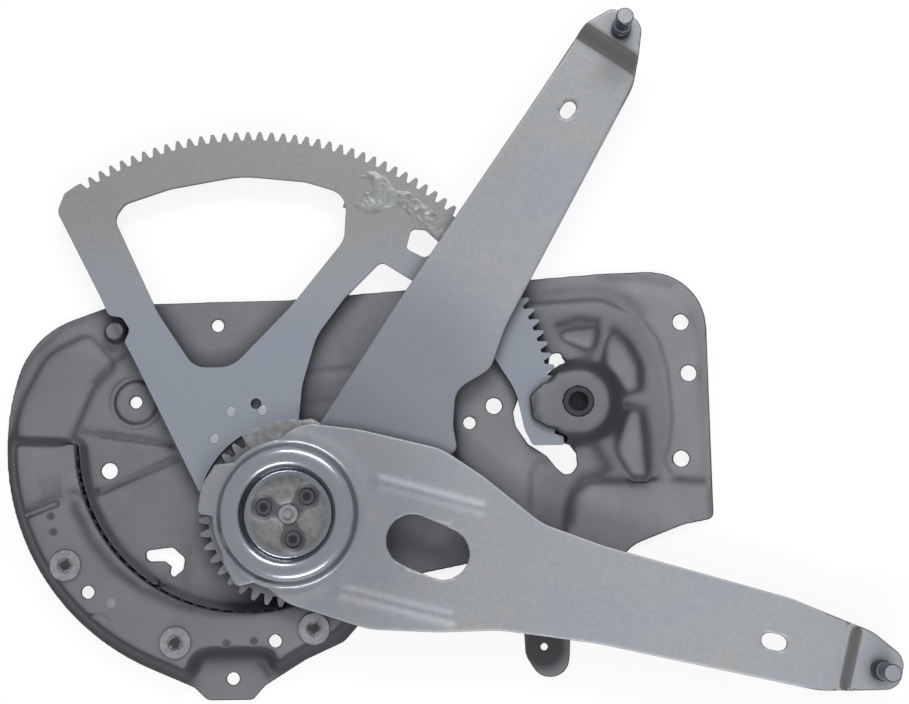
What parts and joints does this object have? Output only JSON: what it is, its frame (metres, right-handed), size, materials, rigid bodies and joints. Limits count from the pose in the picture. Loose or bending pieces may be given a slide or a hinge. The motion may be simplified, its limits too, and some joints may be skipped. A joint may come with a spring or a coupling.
{
  "type": "window regulator",
  "caption": "Vehicle window regulator: pressed base plate, toothed sector driven by a pinion, and two opposed arms with studs at their tips",
  "frame": {"origin": "axis of the main pivot at the back face of the base plate", "axes": "+X along the base plate towards the pinion, +Y up in the picture, +Z off the plate towards the arms"},
  "size_m": [0.4573, 0.3578, 0.0449],
  "materials": {
    "base_steel": "phosphated",
    "zinc_plate": "zinc plated",
    "arm_plate": "zinc plated",
    "gear_steel": "greased",
    "rivet_steel": "plain",
    "stud_steel": "turned",
    "bush_bronze": "sintered bronze"
  },
  "bodies": {
    "base": {"base_plate": "base_steel", "ring_gear": "gear_steel", "ring_rivets": "rivet_steel", "main_pivot_stud": "rivet_steel", "pinion_cap": "base_steel"},
    "pinion": {"pinion_gear": "gear_steel"},
    "carrier": {"crank_plate": "zinc_plate", "sector_gear": "zinc_plate", "sector_rivets": "rivet_steel", "hub_post": "rivet_steel", "hub_rivets": "rivet_steel", "hub_centre_pin": "rivet_steel", "lower_arm": "arm_plate", "lower_tip_stud": "stud_steel"},
    "planet": {"planet_gear": "gear_steel", "planet_spacer": "zinc_plate", "planet_bush": "bush_bronze", "upper_arm": "arm_plate", "upper_arm_rivets": "rivet_steel", "upper_tip_stud": "stud_steel"}
  },
  "joints": [
    {"name": "carrier_turn", "type": "hinge", "parent": "base", "child": "carrier", "pos_m": [0, 0, 0.005], "axis": [0, 0, 1], "range_deg": [-100, 1]},
    {"name": "upper_arm_turn", "type": "hinge", "parent": "carrier", "child": "planet", "pos_m": [0.02264, -0.03889, 0.012], "axis": [0, 0, 1], "range_deg": [-4, 202]},
    {"name": "pinion_spin", "type": "hinge", "parent": "base", "child": "pinion", "pos_m": [0.17208, 0.01778, 0.008], "axis": [0, 0, 1], "range_deg": [-20, 1635]}
  ],
  "couplings": [
    {"joint": "upper_arm_turn", "follows": "carrier_turn", "ratio": -2},
    {"joint": "pinion_spin", "follows": "carrier_turn", "ratio": -16.3}
  ]
}
